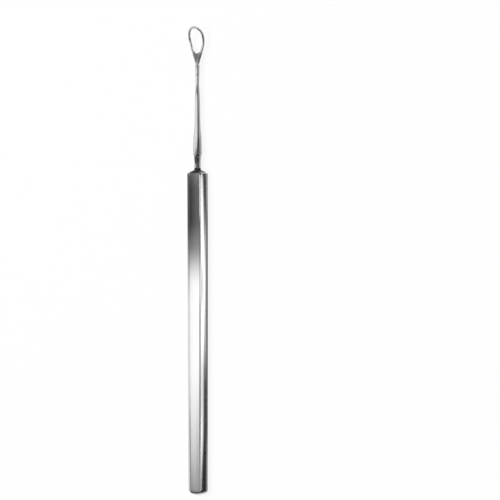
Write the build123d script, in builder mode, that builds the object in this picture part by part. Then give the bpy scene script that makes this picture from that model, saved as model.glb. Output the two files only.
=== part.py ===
from build123d import *
from math import cos, pi, radians, sin, sqrt, tan
import os

# Ear curette with a flat octagonal handle and a bent wire loop, in millimetres.
# It lies on a broad face of the handle, on the plane z = 0. The length runs along Y with the loop at +Y,
# the loop bends up, and the origin is under the middle of the length.

# Handle: flat octagonal bar with hand-ground, slightly crowned narrow faces, turned to a dome at both ends
handle_length = 111.0
handle_width = 7.2
butt_width = 6.75
handle_thickness = 4.65
facet_leg = 1.54
facet_crown = 0.06
worn_edge_radius = 0.5
dome_radius = 5.3
spot_face_diameter = 3.2

# Blind bore in the upper dome, and the tang that sits in it
bore_diameter = 2.2
bore_depth = 12.0
drill_point_angle = 118.0
tang_radial_gap = 0.04
tang_end_gap = 0.6
tang_chamfer = 0.3

# Foot, throat and collar, turned on the thick end of the rod
foot_diameter = 2.96
foot_rim = 0.1
foot_flare_height = 0.36
foot_flare_angle = 50.0
waist_diameter = 2.2
waist_height = 2.3
throat_diameter = 2.56
throat_length = 5.1
shoulder_height = 0.35
collar_diameter = 3.0
collar_length = 0.9

# Bell, drawn-down rod, neck and root, each length measured from the station before it
bell_diameter = 2.8
bell_length = 4.2
drawn_diameter = 2.04
drawn_length = 5.2
slim_diameter = 1.7
slim_length = 9.4
neck_diameter = 1.24
neck_length = 4.6
root_diameter = 1.5
root_length = 6.1
spear_length = 2.4

# Loop: flattened end of the rod, pierced and rounded to an egg-shaped ring of wire section
loop_width = 6.08
loop_wire_diameter = 0.9
loop_widest_from_tip = 3.9
flank_length = 11.0
root_from_tip = 13.4
eye_bottom_from_tip = 9.2
web_thickness = 0.62
eye_rim_chamfer = 0.18

# Forward bend of the loop
bend_from_tip = 7.8
bend_radius = 11.5

# Stations along Y, worked out from the sizes above
spot_face_sink = dome_radius - sqrt(dome_radius**2 - (spot_face_diameter / 2) ** 2)
axis_height = handle_thickness / 2
seat_from_butt = handle_length - spot_face_sink
root_from_seat = (
    throat_length + shoulder_height + collar_length + bell_length + drawn_length
    + slim_length + neck_length + root_length
)
overall_length = seat_from_butt + root_from_seat + root_from_tip
butt_y = -overall_length / 2
tip_y = overall_length / 2
dome_y = butt_y + handle_length
seat_y = butt_y + seat_from_butt
throat_y = seat_y + throat_length
collar_y = throat_y + shoulder_height
taper_y = collar_y + collar_length
bell_y = taper_y + bell_length
drawn_y = bell_y + drawn_length
slim_y = drawn_y + slim_length
neck_y = slim_y + neck_length
root_y = neck_y + root_length
spear_y = root_y + spear_length
bend_y = tip_y - bend_from_tip
widest_y = tip_y - loop_widest_from_tip

# The loop's centre line starts inside the root
wire_radius = loop_wire_diameter / 2
wire_half_width = loop_width / 2 - wire_radius
crown_height = loop_widest_from_tip - wire_radius
leg_y = root_y + wire_radius
flank_steps = 6
crown_steps = 8

# Section plane through the long axis: its x runs along Y, its y runs up from the axis
lengthwise = Plane(origin=(0, 0, axis_height), x_dir=(0, 1, 0), z_dir=(1, 0, 0))
long_axis = Axis((0, 0, axis_height), (0, 1, 0))


def bend(y):
    """Height of the loop's middle surface at y, and its slope: level up to the bend, then a circle."""
    reach = max(y - bend_y, 0)
    drop = sqrt(bend_radius**2 - reach**2)
    return axis_height + bend_radius - drop, reach / drop


def flank_station(y):
    """Point and direction of the loop's centre line on its flank at y, which is half a cosine wave."""
    turn = pi * (widest_y - y) / flank_length
    height, slope = bend(y)
    point = Vector(wire_half_width * (1 + cos(turn)) / 2, y, height)
    return point, Vector(wire_half_width * sin(turn) * pi / flank_length / 2, 1, slope)


def crown_station(turn):
    """Point and direction of the loop's centre line on its crown, a quarter of an ellipse."""
    height, slope = bend(widest_y + crown_height * sin(turn))
    point = Vector(wire_half_width * cos(turn), widest_y + crown_height * sin(turn), height)
    forward = crown_height * cos(turn)
    return point, Vector(-wire_half_width * sin(turn), forward, slope * forward)


# Handle: its section runs back from the dome end along two directions that lean in, and what both share
# is the tapered bar, whose broad faces stay flat
with BuildPart() as handle:
    with BuildSketch(Plane.XZ.offset(-dome_y)) as bar_section:
        flat_x = handle_width / 2 - facet_leg
        side_x = handle_width / 2 - facet_crown
        side_top = handle_thickness - facet_leg
        with BuildLine():
            upper_face = Line((-flat_x, handle_thickness), (flat_x, handle_thickness))
            lower_face = Line((flat_x, 0), (-flat_x, 0))
            right_upper_corner = (side_x, side_top)
            right_lower_corner = (side_x, facet_leg)
            SagittaArc(upper_face @ 1, right_upper_corner, facet_crown)
            SagittaArc(right_upper_corner, right_lower_corner, facet_crown)
            SagittaArc(right_lower_corner, lower_face @ 0, facet_crown)
            mirror(about=Plane.YZ)
        make_face()
        fillet(bar_section.vertices(), radius=worn_edge_radius)
    inward_lean = (handle_width - butt_width) / 2 / handle_length
    extrude(amount=overall_length, dir=(inward_lean, -1, 0))
    extrude(bar_section.sketch, amount=overall_length, dir=(-inward_lean, -1, 0), mode=Mode.INTERSECT)

    with BuildSketch(lengthwise) as turned_envelope:
        with BuildLine():
            spot_rim = (seat_y, spot_face_diameter / 2)
            dome_foot = (dome_y - dome_radius, dome_radius)
            butt_foot = (butt_y + dome_radius, dome_radius)
            Polyline((butt_y, 0), (seat_y, 0), spot_rim)
            RadiusArc(spot_rim, dome_foot, -dome_radius)
            Line(dome_foot, butt_foot)
            RadiusArc(butt_foot, (butt_y, 0), -dome_radius)
        make_face()
    revolve(axis=long_axis, mode=Mode.INTERSECT)

    with BuildSketch(lengthwise) as bore_profile:
        bore_radius = bore_diameter / 2
        bore_end = seat_y - bore_depth
        drill_point = bore_end - bore_radius / tan(radians(drill_point_angle / 2))
        with BuildLine():
            Polyline(
                (seat_y, 0),
                (seat_y, bore_radius),
                (bore_end, bore_radius),
                (drill_point, 0),
                close=True,
            )
        make_face()
    revolve(axis=long_axis, mode=Mode.SUBTRACT)

handle.part.label = "handle"

# Web that closes the loop between its flanks, with the round bottom of the eye
with BuildPart() as web:
    with BuildSketch(Plane.XY.offset(axis_height - web_thickness / 2)) as web_outline:
        low_point, low_direction = flank_station(leg_y)
        high_point, high_direction = flank_station(bend_y)
        with BuildLine():
            Spline(
                (low_point.X, low_point.Y),
                (high_point.X, high_point.Y),
                tangents=[
                    (low_direction.X, low_direction.Y),
                    (high_direction.X, high_direction.Y),
                ],
            )
            Line((low_point.X, low_point.Y), (0, leg_y))
            Line((high_point.X, high_point.Y), (0, bend_y))
            mirror(about=Plane.YZ)
        make_face()
        with Locations((0, widest_y)):
            Ellipse(
                loop_width / 2 - loop_wire_diameter,
                eye_bottom_from_tip - loop_widest_from_tip,
                mode=Mode.SUBTRACT,
            )
    extrude(amount=web_thickness)
    chamfer(web.edges().filter_by(GeomType.ELLIPSE), length=eye_rim_chamfer)

# Loop and shaft: one rod, turned, drawn down, flattened, pierced and bent
with BuildPart() as loop_shaft:
    with BuildSketch(lengthwise) as rod_profile:
        tang_radius = bore_radius - tang_radial_gap
        tang_y = bore_end + tang_end_gap
        foot_radius = foot_diameter / 2
        flare_radius = foot_flare_height / (1 - cos(radians(foot_flare_angle)))
        flare_length = flare_radius * sin(radians(foot_flare_angle))
        flare_top = (seat_y + foot_rim + flare_length, foot_radius - foot_flare_height)
        waist = (seat_y + waist_height, waist_diameter / 2)
        throat = (throat_y, throat_diameter / 2)
        collar = (collar_y, collar_diameter / 2)
        taper = (taper_y, collar_diameter / 2)
        bell = (bell_y, bell_diameter / 2)
        drawn = (drawn_y, drawn_diameter / 2)
        slim = (slim_y, slim_diameter / 2)
        neck = (neck_y, neck_diameter / 2)
        root = (root_y, root_diameter / 2)
        spear = (spear_y, web_thickness / 2)
        bell_middle = ((bell_y + drawn_y) / 2, (bell_diameter + drawn_diameter) / 4)
        neck_middle = ((slim_y + neck_y) / 2, (slim_diameter + neck_diameter) / 4)
        with BuildLine():
            Polyline(
                (spear_y, 0),
                (tang_y, 0),
                (tang_y, tang_radius - tang_chamfer),
                (tang_y + tang_chamfer, tang_radius),
                (seat_y, tang_radius),
                (seat_y, foot_radius),
                (seat_y + foot_rim, foot_radius),
            )
            RadiusArc((seat_y + foot_rim, foot_radius), flare_top, flare_radius)
            Line(flare_top, waist)
            TangentArc(waist, throat, tangent=(1, 0))
            Polyline(throat, collar, taper)
            bell_side = Line(taper, bell)
            bell_round = TangentArc(bell, bell_middle, tangent=bell_side % 1)
            TangentArc(bell_middle, drawn, tangent=bell_round % 1)
            drawn_side = Line(drawn, slim)
            neck_round = TangentArc(slim, neck_middle, tangent=drawn_side % 1)
            neck_hollow = TangentArc(neck_middle, neck, tangent=neck_round % 1)
            TangentArc(neck, root, tangent=neck_hollow % 1)
            Polyline(root, spear, (spear_y, 0))
        make_face()
    revolve(axis=long_axis)

    # Right side of the loop: round wire sections up the flank from the root, then over the crown to the tip
    flank_pitch = (widest_y - leg_y) / flank_steps
    leg_stations = [flank_station(leg_y + flank_pitch * step) for step in range(flank_steps + 1)]
    leg_stations += [crown_station(pi / 2 * step / crown_steps) for step in range(1, crown_steps + 1)]
    wire_sections = []
    for centre, direction in leg_stations:
        section_plane = Plane(origin=centre, x_dir=direction.cross(Vector(0, 0, 1)), z_dir=direction)
        with BuildSketch(section_plane) as wire_section:
            Circle(wire_radius)
        wire_sections.append(wire_section.sketch)
    loft(sections=wire_sections, ruled=True)
    mirror(about=Plane.YZ)
    add(web.part)

loop_shaft.part.label = "loop_shaft"

os.makedirs("parts", exist_ok=True)
for piece in (handle, loop_shaft):
    export_step(piece.part, f"parts/{piece.part.label}.step")

print("overall length", round(overall_length, 3))
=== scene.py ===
"""Ear curette add-on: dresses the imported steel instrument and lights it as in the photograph."""

import math

import bmesh
import bpy
from mathutils import Matrix, Vector, noise


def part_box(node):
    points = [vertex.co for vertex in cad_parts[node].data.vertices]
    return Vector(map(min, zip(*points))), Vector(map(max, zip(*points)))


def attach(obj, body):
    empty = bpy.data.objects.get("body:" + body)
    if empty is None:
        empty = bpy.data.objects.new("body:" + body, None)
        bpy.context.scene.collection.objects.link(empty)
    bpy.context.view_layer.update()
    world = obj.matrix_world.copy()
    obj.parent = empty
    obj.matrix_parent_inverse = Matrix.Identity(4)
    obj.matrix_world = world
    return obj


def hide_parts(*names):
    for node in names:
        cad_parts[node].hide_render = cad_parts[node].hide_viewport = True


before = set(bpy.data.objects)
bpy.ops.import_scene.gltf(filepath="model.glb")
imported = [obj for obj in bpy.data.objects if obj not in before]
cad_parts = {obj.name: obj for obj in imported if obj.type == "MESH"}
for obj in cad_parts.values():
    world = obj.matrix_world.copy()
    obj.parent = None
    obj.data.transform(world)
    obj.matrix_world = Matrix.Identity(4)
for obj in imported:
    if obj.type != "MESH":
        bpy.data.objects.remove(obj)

bl_info = {
    "name": "Ear Curette",
    "version": (1, 0, 0),
    "blender": (4, 5, 0),
    "location": "View3D > Sidebar > Curette",
    "description": "Builds the handle, the loop with its shaft and the studio of an ear curette",
    "category": "Object",
}

MILLIMETRE = 0.001
WHITE = (1.0, 1.0, 1.0, 1.0)
BLACK = (0.0, 0.0, 0.0, 1.0)

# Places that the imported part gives: its two solids and the seat where the shaft enters the handle
HANDLE_LOW, HANDLE_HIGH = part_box("handle")
LOOP_LOW, LOOP_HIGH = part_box("loop_shaft")
BUTT_Y = HANDLE_LOW.y
SEAT_Y = HANDLE_HIGH.y
TANG_Y = LOOP_LOW.y
TIP_Y = LOOP_HIGH.y
AXIS_HEIGHT = HANDLE_HIGH.z / 2

# Stretches along the length, in millimetres, over which the light of several cards changes
SEAT_STRETCH = (30.5, 31.5)
WEB_STRETCH = (70.5, 72.5)
CROWN_STRETCH = (110.0, 120.0)

# The long edges of the right card, seen along the length, in millimetres
RIGHT_CARD_TOP = (84.9, 61.7)
RIGHT_CARD_BOTTOM = (125, 2)


def length(name, description, millimetres):
    """A size that a user may change, stored in metres."""
    return bpy.props.FloatProperty(
        name=name,
        description=description,
        default=millimetres * MILLIMETRE,
        min=0.0,
        precision=5,
        subtype="DISTANCE",
        unit="LENGTH",
    )


def share(name, description, value):
    """A plain number from nought to one that a user may change."""
    return bpy.props.FloatProperty(
        name=name, description=description, default=value, min=0.0, max=1.0, subtype="FACTOR"
    )


def colour(name, description, value):
    """A colour that a user may change."""
    return bpy.props.FloatVectorProperty(
        name=name, description=description, default=value, size=3, min=0.0, max=1.0, subtype="COLOR"
    )


class HandleSizes(bpy.types.PropertyGroup):
    """Sizes of the flat octagonal handle."""

    width: length("Width", "Width at the dome end, across the side faces", 7.19)
    butt_width: length("Butt width", "Width at the butt end", 6.75)
    facet_leg: length("Facet leg", "How far each slanted face cuts into the broad and side faces", 1.54)
    facet_crown: length("Facet crown", "Rise of the hand-ground narrow faces across their width", 0.06)
    broad_crown: length("Broad crown", "How far the broad faces fall off towards their edges", 0.035)
    worn_edge: length("Worn edge", "Radius of the rubbed long edges", 0.5)
    dome_radius: length("Dome radius", "Radius of the turned ends", 5.3)
    rim_radius: length("Rim radius", "Rounding where the faces meet the upper dome", 0.3)
    butt_rim_radius: length("Butt rim radius", "Rounding where the faces meet the butt's dome", 1.15)
    spot_face: length("Spot face", "Diameter of the flat seat for the shaft's foot", 3.2)
    bore: length("Bore", "Diameter of the bore that holds the tang", 2.2)
    bore_depth: length("Bore depth", "Depth of the bore under the spot face", 12.0)


class LoopShaftSizes(bpy.types.PropertyGroup):
    """Sizes of the drawn rod and its bent wire loop."""

    foot: length("Foot", "Diameter of the foot on the spot face", 2.96)
    waist: length("Waist", "Diameter of the narrow waist over the foot", 2.2)
    throat: length("Throat", "Diameter under the collar's shoulder", 2.56)
    collar: length("Collar", "Diameter of the collar", 3.0)
    bell: length("Bell", "Diameter at the end of the straight bell", 2.8)
    drawn: length("Drawn rod", "Diameter where the drawn rod starts", 2.04)
    slim: length("Slim end", "Diameter where the drawn rod ends", 1.7)
    neck: length("Neck", "Diameter of the thin neck", 1.24)
    root: length("Root", "Diameter where the loop spreads", 1.5)
    loop_width: length("Loop width", "Width across the loop", 6.08)
    wire: length("Wire", "Diameter of the wire section of the loop", 0.9)
    web: length("Web", "Thickness of the web under the eye", 0.62)
    widest_from_tip: length("Widest from tip", "Distance from the tip to the widest place", 3.9)
    flank: length("Flank", "Length over which the loop opens", 11.0)
    root_from_tip: length("Root from tip", "Distance from the tip to the root", 13.4)
    eye_from_tip: length("Eye from tip", "Distance from the tip to the bottom of the eye", 9.2)
    bend_from_tip: length("Bend from tip", "Distance from the tip to the start of the bend", 7.8)
    bend_radius: length("Bend radius", "Radius of the forward bend", 11.5)


class SteelLooks(bpy.types.PropertyGroup):
    """Finish of the stainless steel."""

    handle_colour: colour("Handle colour", "Reflectance of the handle's steel", (0.66, 0.66, 0.665))
    shaft_colour: colour("Shaft colour", "Reflectance of the shaft's steel", (0.62, 0.62, 0.625))
    # The same dark colour serves the real stain in the joint and the painted shade over the dome and in
    # the loop's crotch
    stain_and_shade_colour: colour("Joint colour", "Dull dark film in the joint", (0.05, 0.05, 0.052))
    handle_roughness: share("Handle roughness", "Roughness of the ground handle", 0.125)
    shaft_roughness: share("Shaft roughness", "Roughness of the drawn shaft", 0.17)


class StudioLooks(bpy.types.PropertyGroup):
    """Studio round the instrument."""

    frame_width: length("Frame width", "Width of the picture at the instrument", 170.75)
    side_step: length("Side step", "How far the instrument lies left of the picture's middle", 17.87)
    length_step: length("Length step", "How far the picture's middle lies towards the loop", 3.61)
    floor_colour: colour("Floor colour", "Colour of the pale floor", (0.9, 0.9, 0.9))
    camera_tilt: bpy.props.FloatProperty(
        name="Camera tilt",
        description="Roll of the view round the instrument's length",
        default=math.radians(25.7),
        subtype="ANGLE",
        unit="ROTATION",
    )
    camera_lean: bpy.props.FloatProperty(
        name="Camera lean",
        description="Turn of the picture that lets the instrument's tip lean to the left",
        default=math.radians(0.1),
        subtype="ANGLE",
        unit="ROTATION",
    )


class Signal:
    """A node's output that adds Math nodes when it is used in an expression."""

    def __init__(self, shop, socket):
        self.shop = shop
        self.socket = socket

    def output(self, name):
        """Another output of the same node."""
        return Signal(self.shop, self.socket.node.outputs[name])

    def math(self, operation, *values):
        """A Math node of that operation on the given values."""
        inputs = dict(enumerate(values))
        return self.shop.node("ShaderNodeMath", {"operation": operation}, inputs)

    def __add__(self, other):
        return self.math("ADD", self, other)

    def __sub__(self, other):
        return self.math("SUBTRACT", self, other)

    def __rsub__(self, other):
        return self.math("SUBTRACT", other, self)

    def __mul__(self, other):
        return self.math("MULTIPLY", self, other)

    def __truediv__(self, other):
        return self.math("DIVIDE", self, other)

    def __rtruediv__(self, other):
        return self.math("DIVIDE", other, self)

    def __pow__(self, other):
        return self.math("POWER", self, other)

    def __rpow__(self, other):
        return self.math("POWER", other, self)

    def __abs__(self):
        return self.math("ABSOLUTE", self)

    __radd__ = __add__
    __rmul__ = __mul__


class Shop:
    """Adds nodes to the tree of one material or world."""

    def __init__(self, owner):
        owner.use_nodes = True
        self.tree = owner.node_tree
        self.tree.nodes.clear()

    def node(self, kind, settings, inputs):
        """Adds a node of that type: its settings first, then the values or links of its sockets."""
        made = self.tree.nodes.new(kind)
        for name, value in settings.items():
            setattr(made, name, value)
        for name, value in inputs.items():
            if isinstance(value, Signal):
                self.tree.links.new(value.socket, made.inputs[name])
            else:
                made.inputs[name].default_value = value
        return Signal(self, made.outputs[0]) if made.outputs else made

    def rise(self, value, start, end):
        """Nought up to the start and one from the end on, eased between them."""
        settings = {"interpolation_type": "SMOOTHSTEP"}
        inputs = {"Value": value, "From Min": start, "From Max": end}
        return self.node("ShaderNodeMapRange", settings, inputs)

    def fall(self, value, start, end):
        """One up to the start and nought from the end on, eased between them."""
        return 1.0 - self.rise(value, start, end)

    def mix_colour(self, factor, first, second):
        """A blend of two colours."""
        made = self.node("ShaderNodeMix", {"data_type": "RGBA"}, {0: factor, 6: first, 7: second})
        return made.output(2)

    def coordinates(self):
        """The point on the object, in metres."""
        return self.node("ShaderNodeTexCoord", {}, {}).output("Object")

    def axis(self, vector, name):
        """One component of a vector."""
        return self.node("ShaderNodeSeparateXYZ", {}, {"Vector": vector}).output(name)

    def stretched_noise(self, across, along, detail):
        """Noise on the object, from its cells per metre across and along the length."""
        settings = {"operation": "MULTIPLY"}
        inputs = {0: self.coordinates(), 1: (across, along, across)}
        place = self.node("ShaderNodeVectorMath", settings, inputs)
        return self.node("ShaderNodeTexNoise", {}, {"Vector": place, "Scale": 1.0, "Detail": detail})


def with_alpha(rgb):
    """A colour with full alpha, as a node's colour socket takes it."""
    return (*rgb, 1.0)


def make_steel(name, rgb, roughness, stain_and_shade_rgb, grain_across, grain_along):
    """Ground stainless steel: lengthwise lines, soft waves, patches of haze, and a dark base colour that
    is a real stain in the joint and painted shade over the dome round it and in the loop's crotch.
    """
    material = bpy.data.materials.new(name)
    shop = Shop(material)
    lines = shop.stretched_noise(across=grain_across, along=grain_along, detail=3.0)
    haze = shop.stretched_noise(across=260.0, along=60.0, detail=4.0)
    waves = shop.stretched_noise(across=160.0, along=55.0, detail=1.0)
    # Painted shade: the base colour darkens over the dome round the joint and in the loop's crotch,
    # besides the real stain in the joint
    stain_and_shade = stain_and_painted_shade(shop) * (0.75 + 0.5 * haze)
    stain_and_shade = shop.rise(stain_and_shade, 0.0, 1.0)

    hazy_share = 0.93
    stain_and_shade_roughness = 0.25
    hazy_rgb = [level * hazy_share for level in rgb]
    clean = shop.mix_colour(haze, with_alpha(hazy_rgb), with_alpha(rgb))
    base = shop.mix_colour(stain_and_shade, clean, with_alpha(stain_and_shade_rgb))
    rough = roughness * (0.72 + 0.36 * haze + 0.2 * lines) + stain_and_shade_roughness * stain_and_shade

    groove_depth = 0.004 * MILLIMETRE
    wave_depth = 0.02 * MILLIMETRE
    grooves = shop.node(
        "ShaderNodeBump", {}, {"Strength": 0.25, "Distance": groove_depth, "Height": lines}
    )
    surface = shop.node(
        "ShaderNodeBump",
        {},
        {"Strength": 0.5, "Distance": wave_depth, "Height": waves, "Normal": grooves},
    )
    shader = shop.node(
        "ShaderNodeBsdfPrincipled",
        {},
        {"Base Color": base, "Metallic": 1.0, "Roughness": rough, "Normal": surface},
    )
    shop.node("ShaderNodeOutputMaterial", {}, {"Surface": shader})
    return material


def stain_and_painted_shade(shop):
    """How strong the darkening is: a real dark stain in the joint with painted shade over the dome round
    it, and weaker painted shade in the loop's crotch.
    """
    place = shop.coordinates()
    along = shop.axis(place, "Y")
    joint_dark = 0.6 * MILLIMETRE
    joint_clear = 1.2 * MILLIMETRE
    dome_dark = 2.2 * MILLIMETRE
    dome_clear = 3.7 * MILLIMETRE
    from_seat = abs(along - SEAT_Y)
    from_axis = (shop.axis(place, "X") ** 2.0 + (shop.axis(place, "Z") - AXIS_HEIGHT) ** 2.0) ** 0.5
    # A real dark stain in the joint that spreads as painted shade over the middle of the dome round it
    seat_stain_and_shade = shop.fall(from_seat, joint_dark, joint_clear) * shop.fall(from_axis, dome_dark, dome_clear)

    # Painted shade in the loop's crotch, between the web and the flanks
    crotch_shade_share = 0.62
    crotch_y = TIP_Y - 10.9 * MILLIMETRE
    crotch_dark = 0.9 * MILLIMETRE
    crotch_clear = 2.7 * MILLIMETRE
    crotch_painted_shade = crotch_shade_share * shop.fall(abs(along - crotch_y), crotch_dark, crotch_clear)
    return seat_stain_and_shade + crotch_painted_shade


def add_object(name, mesh):
    """Links a new object with this mesh to the scene."""
    thing = bpy.data.objects.new(name, mesh)
    bpy.context.scene.collection.objects.link(thing)
    return thing


def skin_rings(name, rings):
    """A closed mesh over rings that all have the same number of points, with a point at each end."""
    mesh = bmesh.new()
    loops = [[mesh.verts.new(point) for point in ring] for ring in rings]
    count = len(loops[0])
    for ring, following in zip(loops, loops[1:]):
        for index in range(count):
            other = (index + 1) % count
            mesh.faces.new((ring[index], ring[other], following[other], following[index]))
    for ring in (loops[0], loops[-1]):
        middle = mesh.verts.new(sum((vert.co for vert in ring), Vector()) / count)
        for index in range(count):
            mesh.faces.new((ring[index], ring[(index + 1) % count], middle))
    bmesh.ops.recalc_face_normals(mesh, faces=mesh.faces)
    data = bpy.data.meshes.new(name)
    mesh.to_mesh(data)
    mesh.free()
    return data


def arc(centre, radius, first, last, steps):
    """Points on an arc after its first one, as pairs, with angles from the first axis."""
    points = []
    for step in range(1, steps + 1):
        angle = first + (last - first) * step / steps
        points.append((centre[0] + radius * math.cos(angle), centre[1] + radius * math.sin(angle)))
    return points


def arc_from(point, radius, first, last, steps):
    """An arc that starts at a point, where its outward direction is the first angle."""
    centre = (point[0] - radius * math.cos(first), point[1] - radius * math.sin(first))
    return arc(centre, radius, first, last, steps)


def quarter_section(sizes, half_width, worn):
    """A quarter of the handle's section, from the middle of the broad face to the middle of the side."""
    broad_steps = 5
    corner_steps = 5
    facet_steps = 4
    side_steps = 3
    eighth = math.pi / 4
    edge_loss = worn * math.tan(eighth / 2)

    facet_length = sizes.facet_leg * math.sqrt(2)
    facet_radius = (facet_length**2 / 4 + sizes.facet_crown**2) / (2 * sizes.facet_crown)
    facet_tilt = math.asin((facet_length / 2 - edge_loss) / facet_radius)
    side_length = 2 * (AXIS_HEIGHT - sizes.facet_leg)
    side_radius = (side_length**2 / 4 + sizes.facet_crown**2) / (2 * sizes.facet_crown)

    # The rounded part is laid out from the end of the broad face, which takes what width is left
    edge_height = AXIS_HEIGHT - sizes.broad_crown
    corner = arc_from((0.0, edge_height), worn, 2 * eighth, eighth + facet_tilt, corner_steps)
    facet = arc_from(corner[-1], facet_radius, eighth + facet_tilt, eighth - facet_tilt, facet_steps)
    height_left = facet[-1][1] - worn * math.sin(eighth - facet_tilt)
    side_tilt = math.asin(height_left / (side_radius - worn))
    lower_corner = arc_from(facet[-1], worn, eighth - facet_tilt, side_tilt, corner_steps)
    side = arc_from(lower_corner[-1], side_radius, side_tilt, 0.0, side_steps)
    rounded = corner + facet + lower_corner + side
    broad = half_width - rounded[-1][0]
    points = []
    for step in range(broad_steps + 1):
        part = step / broad_steps
        points.append((broad * part, AXIS_HEIGHT - sizes.broad_crown * part**2))
    return points + [(x + broad, height) for x, height in rounded]


def handle_section(sizes, y, half_width):
    """The whole section at y, whose long edges are worn a little unevenly."""
    # Each edge takes its wear from its own line through the noise
    wear_length = 14 * MILLIMETRE
    unevenness = 0.3
    edge_spacing = 7.3
    noise_height = 0.4
    ring = []
    for quadrant, (side, level) in enumerate(((1, 1), (1, -1), (-1, -1), (-1, 1))):
        wear = noise.noise(Vector((y / wear_length, quadrant * edge_spacing, noise_height)))
        worn = sizes.worn_edge * (1.0 + unevenness * wear)
        quarter = quarter_section(sizes, half_width, worn)
        if side * level < 0:
            quarter.reverse()
        ring += [(x * side, height * level) for x, height in quarter[:-1]]
    return ring


def place_ring(section, y):
    """The section's points at y along the length."""
    return [Vector((x, y, AXIS_HEIGHT + height)) for x, height in section]


def dome_rings(sizes, section, end, outward, rim_radius, inner_radius, steps):
    """Rings that round the rim off and run over the dome to a circle round the axis."""
    rim_steps = 6
    centre = end - outward * sizes.dome_radius
    rims = []
    domes = []
    for x, height in section:
        reach = math.hypot(x, height)
        rim_centre_radius = reach - rim_radius
        rim_place = math.sqrt((sizes.dome_radius - rim_radius) ** 2 - rim_centre_radius**2)
        slope = math.atan2(rim_centre_radius, rim_place)
        rim = arc((rim_place, rim_centre_radius), rim_radius, math.pi / 2, slope, rim_steps)
        start = rim[-1][1]
        radii = [start + (inner_radius - start) * step / steps for step in range(1, steps + 1)]
        dome = [(math.sqrt(sizes.dome_radius**2 - radius**2), radius) for radius in radii]
        rims.append([(rim_place, reach)] + rim + dome)
        domes.append((x / reach, height / reach))
    rings = []
    for step in range(1 + rim_steps + steps):
        ring = []
        for (across, upward), rim in zip(domes, rims):
            place, radius = rim[step]
            y = centre + outward * place
            ring.append(Vector((across * radius, y, AXIS_HEIGHT + upward * radius)))
        rings.append(ring)
    return rings


def circle_ring(section, radius, y):
    """A circle round the axis with its points in the same directions as the section's."""
    ring = []
    for x, height in section:
        reach = math.hypot(x, height)
        ring.append(Vector((x / reach * radius, y, AXIS_HEIGHT + height / reach * radius)))
    return ring


def make_handle_mesh(sizes):
    """The bar with its two domes, the spot face and the blind bore."""
    shoulder = 2.2 * MILLIMETRE
    station_pitch = 1.2 * MILLIMETRE
    pole_radius = 0.05 * MILLIMETRE
    drill_slope = math.tan(math.radians(30))
    butt_steps = 10
    dome_steps = 7
    first_y = BUTT_Y + shoulder
    last_y = SEAT_Y - shoulder
    station_count = round((last_y - first_y) / station_pitch)
    bar = []
    sections = []
    for step in range(station_count + 1):
        y = first_y + (last_y - first_y) * step / station_count
        half_width = (sizes.butt_width + (sizes.width - sizes.butt_width) * step / station_count) / 2
        section = handle_section(sizes, y, half_width)
        sections.append(section)
        bar.append(place_ring(section, y))
    spot_radius = sizes.spot_face / 2
    dome_top = SEAT_Y + sizes.dome_radius - math.sqrt(sizes.dome_radius**2 - spot_radius**2)
    butt = dome_rings(sizes, sections[0], BUTT_Y, -1, sizes.butt_rim_radius, pole_radius, butt_steps)
    dome = dome_rings(sizes, sections[-1], dome_top, 1, sizes.rim_radius, spot_radius, dome_steps)
    bore_radius = sizes.bore / 2
    bore_end = SEAT_Y - sizes.bore_depth
    bore = [
        circle_ring(sections[-1], bore_radius, SEAT_Y),
        circle_ring(sections[-1], bore_radius, bore_end),
        circle_ring(sections[-1], pole_radius, bore_end - bore_radius * drill_slope),
    ]
    return skin_rings("handle_steel", butt[::-1] + bar + dome + bore)


def finish_steel(thing, mesh, sharp_degrees):
    """Smooth shading that keeps real corners, with flat faces kept flat."""
    mesh.shade_smooth()
    mesh.set_sharp_from_angle(angle=math.radians(sharp_degrees))
    weighted = thing.modifiers.new("even_shading", "WEIGHTED_NORMAL")
    weighted.keep_sharp = True
    weighted.weight = 100


def eased_radius(stations, y):
    """Radius at y on a smooth line, without overshoot, through stations of a place and a radius each."""
    slopes = [(b[1] - a[1]) / (b[0] - a[0]) for a, b in zip(stations, stations[1:])]
    index = max(0, min(len(slopes) - 1, sum(place <= y for place, _ in stations) - 1))
    ends = []
    for at in (index, index + 1):
        if at == 0 or at == len(slopes) or slopes[at - 1] * slopes[at] <= 0:
            ends.append(0.0)
        else:
            ends.append(2 * slopes[at - 1] * slopes[at] / (slopes[at - 1] + slopes[at]))
    (low, low_radius), (high, high_radius) = stations[index], stations[index + 1]
    span = high - low
    part = max(0.0, min(1.0, (y - low) / span))
    rise = part * part * (3 - 2 * part)
    entry = part * (1 - part) ** 2 * span * ends[0]
    leave = part * part * (1 - part) * span * ends[1]
    return low_radius + (high_radius - low_radius) * rise + entry - leave


def foot_profile(sizes):
    """The outline of the tang, the foot and the small hollow over it, as places and radii."""
    mm = MILLIMETRE
    pole_radius = 0.03 * mm
    tang_radius = 1.06 * mm
    tang_chamfer = 0.3 * mm
    foot_radius = sizes.foot / 2
    foot_chamfer = 0.05 * mm
    chamfer_height = 0.02 * mm
    foot_height = 0.09 * mm
    outline = [
        (TANG_Y, pole_radius),
        (TANG_Y, tang_radius - tang_chamfer),
        (TANG_Y + tang_chamfer, tang_radius),
        (SEAT_Y, tang_radius),
        (SEAT_Y, foot_radius - foot_chamfer),
        (SEAT_Y + chamfer_height, foot_radius),
        (SEAT_Y + foot_height, foot_radius),
    ]
    hollow_y = SEAT_Y + 0.1 * mm
    hollow = 0.36 * mm
    hollow_steps = 7
    for step in range(1, hollow_steps + 1):
        angle = math.pi / 2 * step / hollow_steps
        y = hollow_y + hollow * (1 - math.cos(angle))
        outline.append((y, foot_radius - hollow * math.sin(angle)))
    return outline


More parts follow.
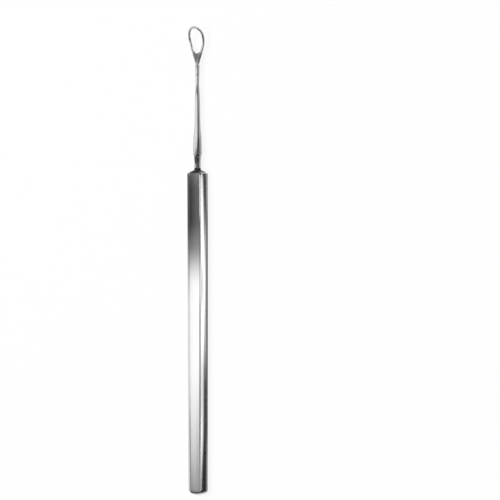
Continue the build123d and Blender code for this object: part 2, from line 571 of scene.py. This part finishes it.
def shaft_profile(sizes):
    """The shaft's outline as places and radii, from the tang to the root of the loop."""
    mm = MILLIMETRE
    waist_y = SEAT_Y + 2.3 * mm
    throat_y = SEAT_Y + 5.1 * mm
    throat_radius = sizes.throat / 2
    lower_pitch = 0.2 * mm
    foot = foot_profile(sizes)
    lower = [foot[-1], (waist_y, sizes.waist / 2), (throat_y, throat_radius)]

    # A small step with rounded corners leads up to the collar
    corner = 0.05 * mm
    collar_y = throat_y + 0.35 * mm
    collar_radius = sizes.collar / 2
    step_up = [
        (throat_y + corner, throat_radius + 0.02 * mm),
        (collar_y - 0.08 * mm, collar_radius - 0.03 * mm),
        (collar_y, collar_radius),
    ]

    collar_end_y = collar_y + 0.9 * mm
    bell_y = collar_y + 5.1 * mm
    drawn_y = collar_y + 10.3 * mm
    slim_y = collar_y + 19.7 * mm
    neck_y = collar_y + 24.3 * mm
    root_y = TIP_Y - sizes.root_from_tip
    upper_pitch = 0.4 * mm
    upper = [
        (collar_y + corner, collar_radius),
        (collar_end_y, collar_radius),
        (bell_y, sizes.bell / 2),
        (drawn_y, sizes.drawn / 2),
        (slim_y, sizes.slim / 2),
        (neck_y, sizes.neck / 2),
        (root_y, sizes.root / 2),
    ]
    return foot[:-1] + sampled(lower, lower_pitch) + step_up + sampled(upper, upper_pitch)


def sampled(stations, pitch):
    """Points at an even pitch on the smooth line through the stations."""
    first, last = stations[0][0], stations[-1][0]
    count = round((last - first) / pitch)
    places = [first + (last - first) * step / count for step in range(count + 1)]
    return [(y, eased_radius(stations, y)) for y in places]


def turned_rings(outline, sides):
    """Rings round the long axis, one for each place and radius of the outline."""
    rings = []
    for y, radius in outline:
        ring = []
        for side in range(sides):
            angle = 2 * math.pi * side / sides
            ring.append(Vector((radius * math.cos(angle), y, AXIS_HEIGHT + radius * math.sin(angle))))
        rings.append(ring)
    return rings


class LoopLine:
    """The middle line of the loop's wire: a flank that opens as half a wave, then an oval crown."""

    def __init__(self, sizes):
        self.wire_radius = sizes.wire / 2
        self.half_width = sizes.loop_width / 2 - self.wire_radius
        self.widest_y = TIP_Y - sizes.widest_from_tip
        self.crown = sizes.widest_from_tip - self.wire_radius
        self.flank = sizes.flank
        self.bend_y = TIP_Y - sizes.bend_from_tip
        self.bend_radius = sizes.bend_radius

    def height(self, y):
        """Height of the loop's middle at y: level, then a circle."""
        reach = max(y - self.bend_y, 0.0)
        return AXIS_HEIGHT + self.bend_radius - math.sqrt(self.bend_radius**2 - reach**2)

    def flank_x(self, y):
        """Half the distance between the two flanks at y."""
        return self.half_width * (1 + math.cos(math.pi * (self.widest_y - y) / self.flank)) / 2

    def right_side(self, first_y, flank_steps, crown_steps):
        """Points up the right flank and over the crown to the tip."""
        points = []
        for step in range(flank_steps):
            y = first_y + (self.widest_y - first_y) * step / flank_steps
            points.append(Vector((self.flank_x(y), y, self.height(y))))
        for step in range(crown_steps + 1):
            turn = math.pi / 2 * step / crown_steps
            y = self.widest_y + self.crown * math.sin(turn)
            points.append(Vector((self.half_width * math.cos(turn), y, self.height(y))))
        return points


def tube_rings(points, radius, sides):
    """Round sections square to a line through the points."""
    rings = []
    for index, point in enumerate(points):
        before = points[max(index - 1, 0)]
        after = points[min(index + 1, len(points) - 1)]
        forward = (after - before).normalized()
        across = forward.cross(Vector((0.0, 0.0, 1.0))).normalized()
        upward = across.cross(forward)
        ring = []
        for side in range(sides):
            angle = 2 * math.pi * side / sides
            ring.append(point + radius * (math.cos(angle) * across + math.sin(angle) * upward))
        rings.append(ring)
    return rings


def make_web(sizes, line, first_y):
    """The web between the flanks with the round bottom of the eye cut into it, as a closed slab."""
    steps = 24
    eye_y = line.widest_y
    eye_half_width = sizes.loop_width / 2 - sizes.wire
    eye_drop = sizes.eye_from_tip - sizes.widest_from_tip
    top_y = line.bend_y
    outline = []
    for step in range(steps + 1):
        y = first_y + (top_y - first_y) * step / steps
        outline.append((line.flank_x(y), y))
    turn = math.asin((eye_y - top_y) / eye_drop)
    for step in range(steps // 2 + 1):
        angle = turn + (math.pi / 2 - turn) * 2 * step / steps
        outline.append((eye_half_width * math.cos(angle), eye_y - eye_drop * math.sin(angle)))
    outline += [(-x, y) for x, y in reversed(outline[:-1])]
    mesh = bmesh.new()
    lower, upper = [
        [mesh.verts.new((x, y, AXIS_HEIGHT + rise)) for x, y in outline]
        for rise in (-sizes.web / 2, sizes.web / 2)
    ]
    mesh.faces.new(lower)
    mesh.faces.new(upper)
    for index, corner in enumerate(lower):
        other = (index + 1) % len(lower)
        mesh.faces.new((corner, lower[other], upper[other], upper[index]))
    bmesh.ops.recalc_face_normals(mesh, faces=mesh.faces)
    data = bpy.data.meshes.new("web")
    mesh.to_mesh(data)
    mesh.free()
    return data


def joined(name, meshes):
    """One mesh made of several."""
    whole = bmesh.new()
    for mesh in meshes:
        whole.from_mesh(mesh)
    data = bpy.data.meshes.new(name)
    whole.to_mesh(data)
    whole.free()
    return data


def fused(name, mesh, cell, rounds):
    """The parts of a mesh fused into one smooth skin. The fusing runs at a thousand times the size."""
    mesh.transform(Matrix.Scale(1 / MILLIMETRE, 4))
    blank = add_object("blank", mesh)
    remesh = blank.modifiers.new("fuse", "REMESH")
    remesh.mode = "VOXEL"
    remesh.voxel_size = cell / MILLIMETRE
    rub = blank.modifiers.new("rub", "SMOOTH")
    rub.factor = 0.5
    rub.iterations = rounds
    view = bpy.context.evaluated_depsgraph_get()
    data = bpy.data.meshes.new_from_object(blank.evaluated_get(view))
    data.name = name
    data.transform(Matrix.Scale(MILLIMETRE, 4))
    bpy.data.objects.remove(blank)
    return data


def cut_below(mesh, y):
    """Takes away what lies below y along the length."""
    work = bmesh.new()
    work.from_mesh(mesh)
    everything = work.verts[:] + work.edges[:] + work.faces[:]
    bmesh.ops.bisect_plane(
        work, geom=everything, plane_co=(0.0, y, 0.0), plane_no=(0.0, 1.0, 0.0), clear_inner=True
    )
    work.to_mesh(mesh)
    work.free()


def make_loop_shaft_mesh(sizes):
    """The turned shaft, and the pierced, bent end fused to it."""
    mm = MILLIMETRE
    line = LoopLine(sizes)
    root_y = TIP_Y - sizes.root_from_tip
    join_y = root_y - 3.0 * mm
    first_y = root_y + line.wire_radius
    profile = shaft_profile(sizes)

    # The shaft ends inside the fused end, a little thinner than it
    shaft_overlap = 0.1 * mm
    shaft_end_share = 0.96
    shaft_sides = 64
    lower = [station for station in profile if station[0] < join_y]
    lower.append((join_y + shaft_overlap, lower[-1][1] * shaft_end_share))
    shaft = skin_rings("shaft", turned_rings(lower, shaft_sides))

    # The spear starts below the join, runs into the web, and is cut off at the join once it is fused
    spear_overlap = 1.0 * mm
    spear_length = 2.4 * mm
    spear_sides = 48
    upper = [station for station in profile if station[0] > join_y - spear_overlap]
    upper.append((root_y + spear_length, sizes.web / 2))
    spear = skin_rings("spear", turned_rings(upper, spear_sides))

    flank_steps = 40
    crown_steps = 30
    wire_sides = 28
    right = line.right_side(first_y, flank_steps, crown_steps)
    left = [Vector((-point.x, point.y, point.z)) for point in reversed(right[:-1])]
    ring = skin_rings("ring", tube_rings(right + left, line.wire_radius, wire_sides))
    web = make_web(sizes, line, first_y)

    fusing_cell = 0.05 * mm
    rubbing_rounds = 8
    end = fused("pierced_end", joined("end_parts", [spear, ring, web]), fusing_cell, rubbing_rounds)
    cut_below(end, join_y)
    return joined("loop_shaft_steel", [shaft, end])


class CURETTE_OT_handle(bpy.types.Operator):
    """Build the octagonal steel handle"""

    bl_idname = "curette.handle"
    bl_label = "Handle"

    def execute(self, context):
        sizes = context.scene.curette_handle
        looks = context.scene.curette_steel
        mesh = make_handle_mesh(sizes)
        handle = add_object("octagonal_handle", mesh)
        finish_steel(handle, mesh, sharp_degrees=40.0)
        steel = make_steel(
            "ground_handle_steel",
            looks.handle_colour,
            looks.handle_roughness,
            looks.stain_and_shade_colour,
            grain_across=4200.0,
            grain_along=45.0,
        )
        mesh.materials.append(steel)
        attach(handle, "root")
        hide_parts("handle")
        return {"FINISHED"}


class CURETTE_OT_loop_shaft(bpy.types.Operator):
    """Build the drawn shaft and its bent wire loop"""

    bl_idname = "curette.loop_shaft"
    bl_label = "Loop and shaft"

    def execute(self, context):
        sizes = context.scene.curette_loop_shaft
        looks = context.scene.curette_steel
        mesh = make_loop_shaft_mesh(sizes)
        shaft = add_object("wire_loop_and_shaft", mesh)
        finish_steel(shaft, mesh, sharp_degrees=50.0)
        steel = make_steel(
            "drawn_shaft_steel",
            looks.shaft_colour,
            looks.shaft_roughness,
            looks.stain_and_shade_colour,
            grain_across=5200.0,
            grain_along=90.0,
        )
        mesh.materials.append(steel)
        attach(shaft, "root")
        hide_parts("loop_shaft")
        return {"FINISHED"}


def make_plate(name, corners):
    """A flat four-cornered mesh."""
    data = bpy.data.meshes.new(name)
    data.from_pydata(corners, [], [(0, 1, 2, 3)])
    return data


def card_corners(start, end, low_y, high_y):
    """Corners in metres of a card across the length, from two points seen along it, in millimetres."""
    corners = [(*start, low_y), (*end, low_y), (*end, high_y), (*start, high_y)]
    return [(x * MILLIMETRE, y * MILLIMETRE, height * MILLIMETRE) for x, height, y in corners]


def upright_corners(left, right, low, high, along):
    """Corners in metres of a card that stands square to the length, from its limits in millimetres."""
    corners = [(left, along, low), (right, along, low), (right, along, high), (left, along, high)]
    return [(x * MILLIMETRE, y * MILLIMETRE, height * MILLIMETRE) for x, y, height in corners]


def make_floor(looks):
    """A wide pale floor that shows white and keeps a faint shadow."""
    reach = 1.2
    depth = 0.02 * MILLIMETRE
    shown_share = 0.88
    mirrored_share = 0.55
    quarters = ((-1, -1), (1, -1), (1, 1), (-1, 1))
    mesh = make_plate("floor", [(x * reach, y * reach, -depth) for x, y in quarters])
    floor = add_object("floor", mesh)
    material = bpy.data.materials.new("pale_floor")
    shop = Shop(material)
    path = shop.node("ShaderNodeLightPath", {}, {})
    mirrored = path.output("Is Glossy Ray") + path.output("Is Transmission Ray")
    factor = shown_share * path.output("Is Camera Ray") + mirrored_share * mirrored
    paint = shop.node("ShaderNodeBsdfDiffuse", {}, {"Color": with_alpha(looks.floor_colour)})
    glow = shop.node("ShaderNodeEmission", {}, {"Color": WHITE, "Strength": 1.0})
    mixed = shop.node("ShaderNodeMixShader", {}, {0: factor, 1: paint, 2: glow})
    shop.node("ShaderNodeOutputMaterial", {}, {"Surface": mixed})
    mesh.materials.append(material)


def make_card(name, corners, level, cover):
    """A card that only reflections see, with functions of the place on it for brightness and cover."""
    brightest = 5.0
    mesh = make_plate(name, corners)
    card = add_object(name, mesh)
    material = bpy.data.materials.new(name + "_glow")
    shop = Shop(material)
    place = shop.coordinates()
    across = shop.axis(place, "X") / MILLIMETRE
    along = shop.axis(place, "Y") / MILLIMETRE
    light = shop.node("ShaderNodeEmission", {}, {"Color": WHITE, "Strength": brightest})
    dark = shop.node("ShaderNodeEmission", {}, {"Color": BLACK, "Strength": 0.0})
    share_of_light = level(shop, across, along) / brightest
    glow = shop.node("ShaderNodeMixShader", {}, {0: share_of_light, 1: dark, 2: light})
    clear = shop.node("ShaderNodeBsdfTransparent", {}, {})
    mixed = shop.node("ShaderNodeMixShader", {}, {0: cover(shop, across, along), 1: clear, 2: glow})
    shop.node("ShaderNodeOutputMaterial", {}, {"Surface": mixed})
    mesh.materials.append(material)
    card.visible_camera = False
    card.visible_shadow = False
    card.visible_diffuse = False


def broad_card(shop, across, along):
    """Light on the broad face: white over the middle, dimmer at the butt and dark near the dome."""
    least = 0.05
    far_butt = 0.46 * shop.fall(along, -92.0, -72.0)
    dull_side = 0.54 * shop.rise(across, -40.0, -37.5) * shop.fall(along, -92.0, -30.0)
    dull_edge = 0.3 * shop.fall(across, -46.0, -43.0) * shop.fall(along, -92.0, -66.0)
    butt_fade = shop.rise(along, -118.0, -34.0) * (1.0 - far_butt)
    butt_fade = butt_fade * (1.0 - dull_side) * (1.0 - dull_edge)
    middle = 1.3 * butt_fade * shop.fall(along, -10.5, 6.5)
    below_dome = 0.16 * shop.fall(along, 8.0, 13.0)
    right_part = shop.rise(across, -48.0, -36.0)
    rim = 0.18 * shop.rise(along, 29.0, 30.8) * shop.fall(along, 35.0, 38.0)
    right_light = 0.13 * right_part + rim * (0.4 + 0.6 * right_part)
    shaft = 1.1 * shop.rise(along, 38.0, 48.0) + 0.25 * shop.rise(along, 50.0, 60.0)
    shaft = shaft * (1.0 - 0.92 * shop.rise(along, *WEB_STRETCH))
    crown = 2.4 * shop.rise(along, *CROWN_STRETCH)
    return least + middle + below_dome + right_light + shaft + crown


def left_card(shop, across, along):
    """Light for the left side: strong for the shaft and the handle's middle, dark beside the dome."""
    least = 0.05
    butt = 0.2 + 0.14 * shop.fall(along, -85.0, -68.0)
    middle = 1.1 * shop.rise(along, -66.0, -40.0)
    handle = (butt + middle) * shop.fall(along, -17.0, 8.0)
    dull_web = 0.6 * shop.rise(along, *WEB_STRETCH) * shop.fall(along, 80.0, 84.0)
    shaft = 1.25 * shop.rise(along, 34.0, 41.0) * (1.0 - dull_web)
    return least + handle + shaft


def over_card(shop, across, along):
    """Uneven light over the worn edge between the broad and the slanted face."""
    least = 0.08
    butt = 0.3 * shop.fall(along, -78.0, -66.0)
    right_part = shop.rise(across, 14.0, 34.0)
    below_gap = shop.fall(along, -7.0, 1.0)
    patch = shop.rise(along, -19.0, -12.0) * below_gap * (0.3 + 0.5 * right_part)
    side = (0.14 + 0.28 * shop.rise(along, -60.0, -20.0) * below_gap) * right_part
    side = side * shop.fall(along, 14.0, 22.0)
    gap = 0.34 * shop.rise(along, -14.0, 2.0) * shop.fall(along, 12.0, 24.0)
    gap = gap * shop.fall(across, -14.0, -2.0)
    shaft_reach = 16.0 * shop.rise(along, 46.0, 58.0)
    shaft = 1.1 * shop.rise(along, 40.0, 48.0) * shop.fall(across - shaft_reach, 14.0, 36.0)
    shaft = shaft * (1.0 - 0.9 * shop.rise(along, *WEB_STRETCH))
    crown = 2.4 * shop.rise(along, *CROWN_STRETCH)
    return least + butt + patch + side + gap + shaft + crown


def right_card(shop, across, along):
    """An oval pool of light for the slanted face, widest beside the handle's middle."""
    least = 0.03
    pool_middle = -8.0
    dip_middle = -10.0
    top = RIGHT_CARD_TOP[0]
    down = (across - top) / (RIGHT_CARD_BOTTOM[0] - top)
    off_middle = along - pool_middle
    edge = 0.58 - 0.0079 * abs(off_middle) - 0.0014 * off_middle
    butt_reach = 0.07 * shop.rise(along, -84.0, -66.0) * shop.fall(along, -62.0, -46.0)
    dull_butt = 0.3 * shop.rise(along, -68.0, -56.0) * shop.fall(along, -44.0, -30.0)
    dip = 0.45 * shop.fall(abs(along - dip_middle), 3.0, 12.0) * shop.fall(down, 0.1, 0.4)
    pool = 1.9 * shop.fall(down - edge - butt_reach, -0.22, 0.08) * (1.0 - dull_butt) * (1.0 - dip)
    shaft = (0.25 + 0.5 * shop.rise(along, 48.0, 66.0)) * (0.1 + 0.9 * shop.rise(down, 0.2, 0.8))
    shaft = shaft * (1.0 - 0.7 * shop.rise(along, 84.0, 94.0))
    crown = 2.0 * shop.rise(along, *CROWN_STRETCH)
    loop_side = shop.rise(along, 31.0, 36.0)
    return least + pool * (1.0 - loop_side) + (shaft + crown) * loop_side


def near_card(shop, across, along):
    """The light that the worn edge mirrors just below the dome."""
    return 2.0 - shop.rise(across, 3.0, 7.0)


def near_cover(shop, across, along):
    """Soft ends for the near card."""
    return shop.rise(along, 13.0, 17.0) * shop.fall(along, 29.5, 30.5)


def full_cover(shop, across, along):
    """A card that hides what is behind it everywhere."""
    return 1.0


def flag_level(shop, across, along):
    """The dark face of a flag, and of the shield that keeps the near card out of the collar."""
    return 0.03


def left_flag_cover(shop, across, along):
    """A dark card beside the upper part of the handle, and a thinner one further out beside the butt."""
    dome_part = 0.9 * shop.rise(along, -16.0, 14.0) * shop.fall(along, *SEAT_STRETCH)
    butt_part = 0.6 * shop.fall(along, -60.0, -44.0) * shop.fall(across, -16.0, -12.0)
    return dome_part + butt_part


def right_flag_cover(shop, across, along):
    """A dark card that hugs the right side of the handle and reaches further out beside the butt."""
    narrowing = 0.75 * shop.fall(along, -72.0, -45.0)
    near = shop.fall(across + narrowing, 5.2, 6.5)
    ends = shop.rise(along, 12.0, 24.0) + shop.fall(along, -70.0, -56.0)
    near_part = 0.85 - 0.35 * ends
    far_part = 0.97 * shop.fall(along, -46.0, -28.0) + 0.9 * shop.rise(along, 6.0, 22.0)
    handle_part = near * near_part + (1.0 - near) * far_part
    shaft_part = 0.45 * shop.rise(along, 31.0, 32.0)
    return handle_part * shop.fall(along, *SEAT_STRETCH) + shaft_part


def make_cards():
    """The cards, each named for what it lights, where that face looks away, or for what it keeps dark."""
    butt_end = -110
    tip_end = 160
    flag_height = 0.05
    broad = card_corners(start=(-52, 80), end=(-27, 90.5), low_y=-115, high_y=tip_end)
    left = card_corners(start=(-110, 22), end=(-62, 92), low_y=butt_end, high_y=tip_end)
    over = card_corners(start=(-30, 106.2), end=RIGHT_CARD_TOP, low_y=butt_end, high_y=tip_end)
    right = card_corners(start=RIGHT_CARD_TOP, end=RIGHT_CARD_BOTTOM, low_y=butt_end, high_y=tip_end)
    near = card_corners(start=(-0.5, 16.6), end=(13.6, 14.3), low_y=12, high_y=31)
    left_flag = card_corners(start=(-70, flag_height), end=(-4.2, flag_height), low_y=-88, high_y=32)
    right_flag = card_corners(start=(2.9, flag_height), end=(70, flag_height), low_y=-88, high_y=70)
    shield = upright_corners(left=-2.5, right=40, low=5.1, high=30, along=31.4)
    butt_flag = upright_corners(left=10, right=130, low=0.1, high=75, along=-112)
    cards = (
        ("broad_card", broad, broad_card, full_cover),
        ("left_card", left, left_card, full_cover),
        ("over_card", over, over_card, full_cover),
        ("right_card", right, right_card, full_cover),
        ("near_card", near, near_card, near_cover),
        ("left_flag", left_flag, flag_level, left_flag_cover),
        ("right_flag", right_flag, flag_level, right_flag_cover),
        ("shield", shield, flag_level, full_cover),
        ("butt_flag", butt_flag, flag_level, full_cover),
    )
    for name, corners, level, cover in cards:
        make_card(name, corners, level, cover)


def make_world():
    """White to the camera, and a soft grey room for light and reflections that is darker overhead."""
    low_light = 0.42
    overhead_loss = 0.26
    tip_gain = 0.9
    butt_loss = 0.75
    world = bpy.data.worlds.new("studio")
    shop = Shop(world)
    seen = shop.node("ShaderNodeLightPath", {}, {}).output("Is Camera Ray")
    direction = shop.node("ShaderNodeTexCoord", {}, {}).output("Generated")
    upward = shop.axis(direction, "Z")
    lengthwise = shop.axis(direction, "Y")
    tip_end = shop.rise(lengthwise, 0.3, 0.7)
    butt_end = shop.fall(lengthwise, -0.7, -0.3) * shop.rise(upward, 0.2, 0.42)
    ends = 1.0 + tip_gain * tip_end - butt_loss * butt_end
    room = (low_light - overhead_loss * shop.rise(upward, 0.1, 0.9)) * ends
    strength = room + seen * (1.0 - room)
    glow = shop.node("ShaderNodeBackground", {}, {"Color": WHITE, "Strength": strength})
    shop.node("ShaderNodeOutputWorld", {}, {"Surface": glow})
    bpy.context.scene.world = world


def make_lamp(name, place, target, size, power):
    """A soft lamp aimed at a point."""
    data = bpy.data.lights.new(name, "AREA")
    data.shape = "DISK"
    data.size = size
    data.energy = power
    lamp = add_object(name, data)
    lamp.location = place
    lamp.rotation_euler = (target - Vector(place)).to_track_quat("-Z", "Y").to_euler()
    lamp.visible_camera = False
    lamp.visible_glossy = False


def make_camera(looks):
    """A long lens over the instrument, tilted round its length."""
    tilt = looks.camera_tilt
    lean = looks.camera_lean
    back = Vector((math.sin(tilt), 0.0, math.cos(tilt)))
    across = Vector((math.cos(tilt), 0.0, -math.sin(tilt)))
    lengthwise = Vector((0.0, 1.0, 0.0))
    right = math.cos(lean) * across - math.sin(lean) * lengthwise
    upward = math.cos(lean) * lengthwise + math.sin(lean) * across
    data = bpy.data.cameras.new("camera")
    data.lens = 200.0
    data.sensor_width = 36.0
    data.clip_start = 0.01
    data.clip_end = 10.0
    camera = add_object("camera", data)
    aim = Vector((0.0, looks.length_step, AXIS_HEIGHT)) + looks.side_step * across
    distance = looks.frame_width * data.lens / data.sensor_width
    camera.location = aim + distance * back
    turn = Matrix((right, upward, back)).transposed()
    camera.rotation_euler = turn.to_euler()
    bpy.context.scene.camera = camera


class CURETTE_OT_studio(bpy.types.Operator):
    """Set the floor, the light, the reflector cards and the camera"""

    bl_idname = "curette.studio"
    bl_label = "Studio"

    def execute(self, context):
        looks = context.scene.curette_studio
        make_floor(looks)
        make_world()
        make_cards()
        make_lamp("overhead_lamp", place=(-0.15, 0.1, 0.9), target=Vector(), size=0.7, power=8.0)
        make_camera(looks)
        context.scene.view_settings.view_transform = "Standard"
        return {"FINISHED"}


class CURETTE_PT_sidebar(bpy.types.Panel):
    """Sizes, finishes and build buttons of the ear curette"""

    bl_label = "Ear Curette"
    bl_space_type = "VIEW_3D"
    bl_region_type = "UI"
    bl_category = "Curette"

    def draw(self, context):
        scene = context.scene
        parts = (
            (scene.curette_handle, "curette.handle"),
            (scene.curette_loop_shaft, "curette.loop_shaft"),
            (scene.curette_steel, None),
            (scene.curette_studio, "curette.studio"),
        )
        for settings, operator in parts:
            box = self.layout.box()
            for name in settings.__annotations__:
                box.prop(settings, name)
            if operator:
                box.operator(operator)


CLASSES = (
    HandleSizes,
    LoopShaftSizes,
    SteelLooks,
    StudioLooks,
    CURETTE_OT_handle,
    CURETTE_OT_loop_shaft,
    CURETTE_OT_studio,
    CURETTE_PT_sidebar,
)


def register():
    """Registers the classes and hangs the settings on the scene."""
    for item in CLASSES:
        bpy.utils.register_class(item)
    scene_type = bpy.types.Scene
    scene_type.curette_handle = bpy.props.PointerProperty(type=HandleSizes)
    scene_type.curette_loop_shaft = bpy.props.PointerProperty(type=LoopShaftSizes)
    scene_type.curette_steel = bpy.props.PointerProperty(type=SteelLooks)
    scene_type.curette_studio = bpy.props.PointerProperty(type=StudioLooks)


def unregister():
    """Takes the settings and the classes away again."""
    for name in ("curette_handle", "curette_loop_shaft", "curette_steel", "curette_studio"):
        delattr(bpy.types.Scene, name)
    for item in reversed(CLASSES):
        bpy.utils.unregister_class(item)


def main():
    """Builds every piece and the studio."""
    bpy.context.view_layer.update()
    register()
    bpy.ops.curette.handle()
    bpy.ops.curette.loop_shaft()
    bpy.ops.curette.studio()


if __name__ == "__main__":
    main()
